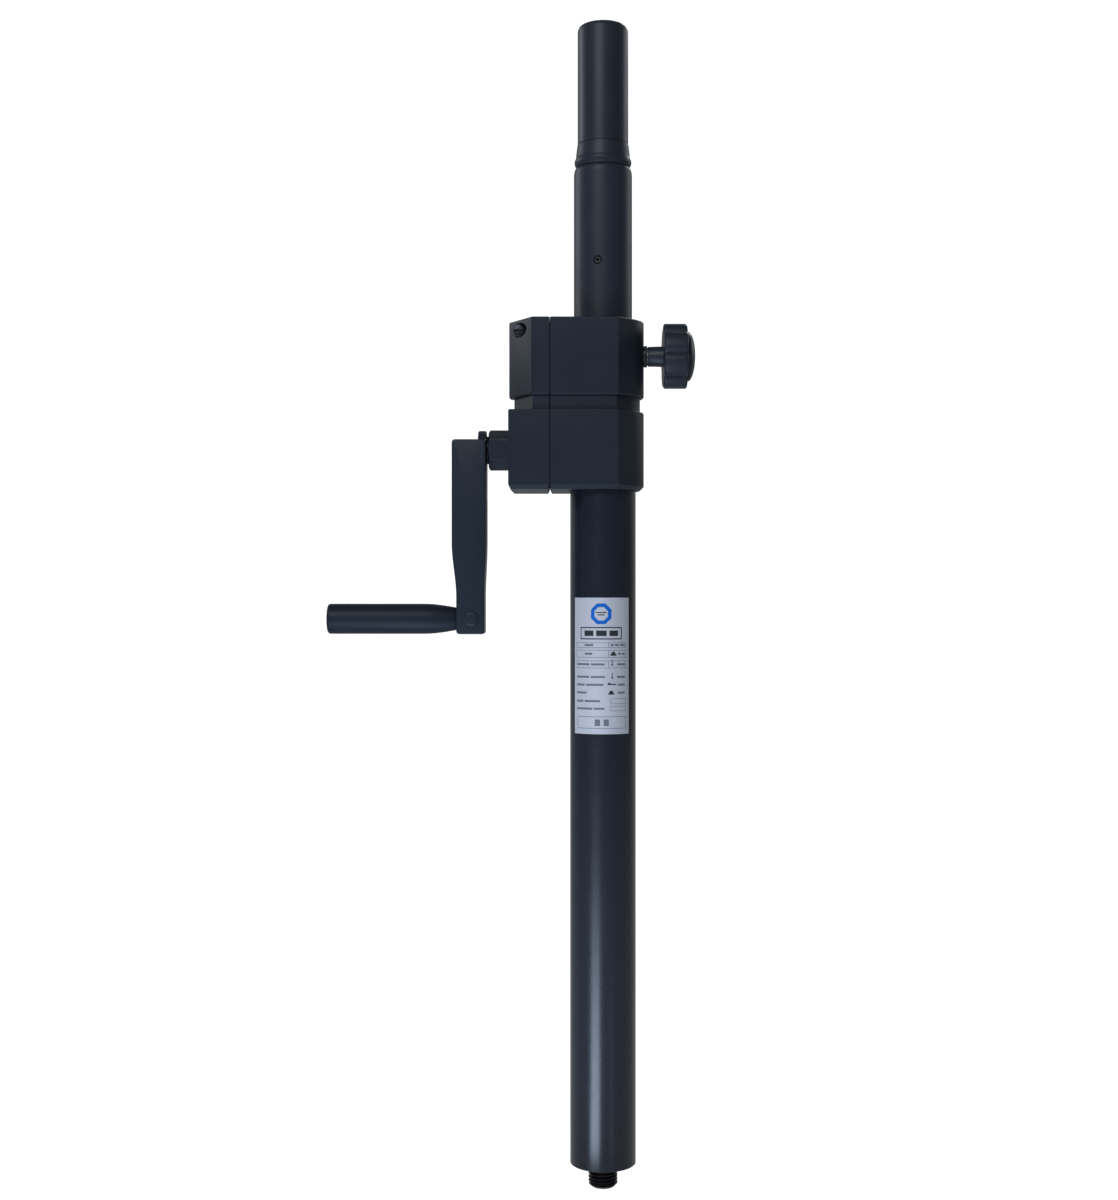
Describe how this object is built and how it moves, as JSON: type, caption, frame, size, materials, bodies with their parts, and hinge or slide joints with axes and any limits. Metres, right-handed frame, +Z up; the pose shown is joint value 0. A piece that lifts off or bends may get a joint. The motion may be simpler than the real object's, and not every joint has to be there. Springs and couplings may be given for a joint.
{
  "type": "crank lift pole",
  "caption": "Black telescopic loudspeaker and lighting pole with a worm-and-rack crank lift, folding crank grip, clamp knob, threaded stud below and spigot on top.",
  "frame": {"origin": "on the pole's axis at the flat lower end of the outer tube, where the threaded stud leaves it", "axes": "+Z up along the pole, +X to the clamp knob (the crank is on -X), -Y to the side with the rating label"},
  "size_m": [0.2522, 0.06, 0.796],
  "materials": {
    "lower_tube_paint": "black satin powder coat on steel tube, slightly glossy",
    "housing_paint": "black fine-textured coat on cast aluminium",
    "tube_paint": "black matt coat on steel",
    "crank_paint": "black satin coat",
    "black_plastic": "black moulded plastic, fine texture",
    "guide_plastic": "grey bearing plastic",
    "label_film": "silver printed film",
    "brass": "machined brass",
    "black_steel": "black oxide steel",
    "bright_steel": "bright machined or zinc plated steel"
  },
  "bodies": {
    "lower_pole": {"base_plug": "bright_steel", "clamp_insert": "brass", "cover_cross_nut": "bright_steel", "cover_cross_screw": "bright_steel", "cover_screw_back_lower": "black_steel", "cover_screw_back_upper": "black_steel", "cover_screw_front_lower": "black_steel", "cover_screw_front_upper": "black_steel", "crank_bearing_nut": "crank_paint", "gear_cover": "housing_paint", "gear_housing": "housing_paint", "lower_tube": "lower_tube_paint", "mounting_stud": "black_steel", "rating_label": "label_film", "stop_tube": "guide_plastic", "stud_lock_nut": "bright_steel", "top_guide_bush": "guide_plastic", "tube_liner": "guide_plastic", "tube_lock_screw_lower": "black_steel", "tube_lock_screw_upper": "black_steel", "wheel_axle": "bright_steel", "worm_end_bush": "brass"},
    "mast": {"inner_tube": "tube_paint", "rack": "bright_steel", "rack_top_screw": "bright_steel", "rack_foot_screw": "bright_steel", "foot_guide": "guide_plastic", "foot_guide_screw": "bright_steel", "spigot_reducer": "guide_plastic", "spigot_core": "bright_steel", "spigot_collar": "tube_paint", "spigot_sleeve": "black_plastic", "spigot_grub_screw": "black_steel"},
    "crank": {"worm_shaft": "bright_steel", "worm": "brass", "worm_pin": "bright_steel", "thrust_washer": "brass", "crank_arm": "crank_paint", "arm_washer": "bright_steel", "arm_nut": "bright_steel", "grip_pivot_pin": "black_steel", "pivot_clip": "black_steel"},
    "wheel": {"worm_wheel": "brass", "wheel_bush": "bright_steel"},
    "folding_grip": {"grip_knuckle": "bright_steel", "grip_axle": "bright_steel"},
    "grip_sleeve_body": {"grip_sleeve": "black_plastic", "grip_end_cap": "black_plastic"},
    "clamp_pad_body": {"clamp_pad": "brass"},
    "knob": {"clamp_stud": "bright_steel", "clamp_knob": "black_plastic", "knob_cap": "black_plastic"}
  },
  "joints": [
    {"name": "crank_turn", "type": "hinge", "parent": "lower_pole", "child": "crank", "pos_m": [-0.0798, 0, 0.4887], "axis": [1, 0, 0], "range_deg": [0, 21772.3]},
    {"name": "mast_slide", "type": "slide", "parent": "lower_pole", "child": "mast", "axis": [0, 0, 1], "range_m": [0, 0.38]},
    {"name": "wheel_turn", "type": "hinge", "parent": "lower_pole", "child": "wheel", "pos_m": [-0.0364, 0, 0.5147], "axis": [0, -1, 0], "range_deg": [0, 1146]},
    {"name": "grip_fold", "type": "hinge", "parent": "crank", "child": "folding_grip", "pos_m": [-0.0897, 0, 0.3731], "axis": [0, 1, 0], "range_deg": [0, 83]},
    {"name": "grip_spin", "type": "hinge", "parent": "folding_grip", "child": "grip_sleeve_body", "pos_m": [-0.1005, 0, 0.3731], "axis": [1, 0, 0], "continuous": true},
    {"name": "knob_turn", "type": "hinge", "parent": "clamp_pad_body", "child": "knob", "pos_m": [0.0232, 0, 0.5531], "axis": [-1, 0, 0], "range_deg": [0, 540]},
    {"name": "pad_slide", "type": "slide", "parent": "lower_pole", "child": "clamp_pad_body", "axis": [1, 0, 0], "range_m": [0, 0.0023]}
  ],
  "couplings": [
    {"joint": "mast_slide", "follows": "crank_turn", "m_per_rad": 0.001},
    {"joint": "wheel_turn", "follows": "crank_turn", "ratio": 0.052632},
    {"joint": "pad_slide", "follows": "knob_turn", "m_per_rad": 0.00023873}
  ]
}
